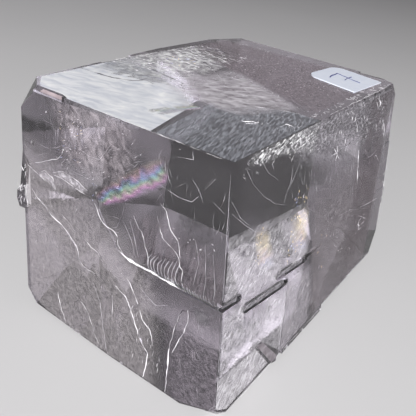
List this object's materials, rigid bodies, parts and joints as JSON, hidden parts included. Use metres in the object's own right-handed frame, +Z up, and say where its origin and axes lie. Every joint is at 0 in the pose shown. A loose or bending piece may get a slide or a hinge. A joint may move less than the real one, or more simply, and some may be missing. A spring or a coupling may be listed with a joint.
{
  "type": "calcite cleavage specimen",
  "caption": "Clear, faintly smoky-lilac calcite cleavage rhomb with flat sloping faces, fine step lines and ledges, and a small paper label; lies on its lower face.",
  "frame": {"origin": "centre of the bounding box at its lowest level, on the face that the crystal rests on", "axes": "+Z up, square to the lower and upper cleavage faces; +X along the long cleavage edge, towards the labelled end; +Y towards the back face"},
  "size_m": [0.071, 0.0524, 0.0383],
  "materials": {
    "calcite": "clear cleaved crystal, glossy with fine scratches and step lines, faintly smoky lilac",
    "label_paper": "smooth white sticker paper with a plain number in blue ink"
  },
  "bodies": {
    "root": {"crystal": "calcite", "label": "label_paper"}
  },
  "joints": []
}
